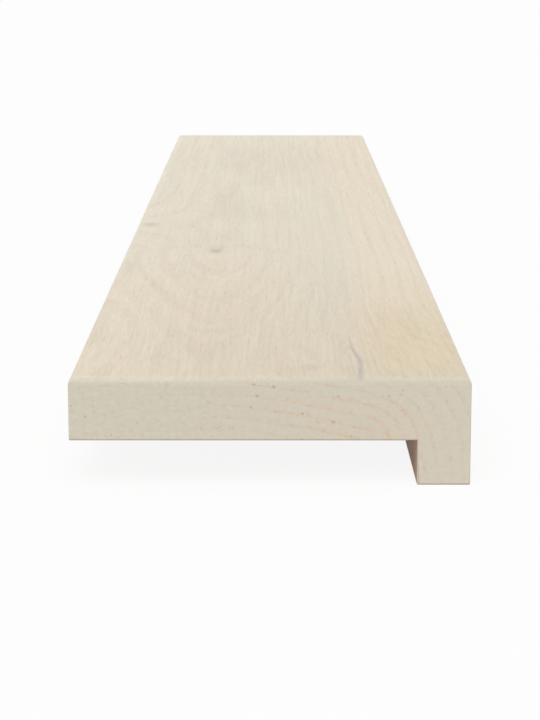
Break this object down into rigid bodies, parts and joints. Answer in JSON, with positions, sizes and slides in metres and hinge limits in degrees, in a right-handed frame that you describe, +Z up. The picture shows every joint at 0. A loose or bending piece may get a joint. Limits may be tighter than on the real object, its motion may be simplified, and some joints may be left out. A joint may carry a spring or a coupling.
{
  "type": "window sill board",
  "caption": "Solid oak window sill board with an L section: a flat top with rounded edges and a nose along one long edge that drops over the edge of the wall.",
  "frame": {"origin": "middle of the footprint, level with the bottom of the nose", "axes": "+X from the back edge to the face of the nose, +Y along the window, +Z up through the top face"},
  "size_m": [0.15, 1, 0.041],
  "materials": {
    "white_oiled_oak": "oak sanded smooth and oiled white, matt"
  },
  "bodies": {
    "root": {"window_sill_board": "white_oiled_oak"}
  },
  "joints": []
}
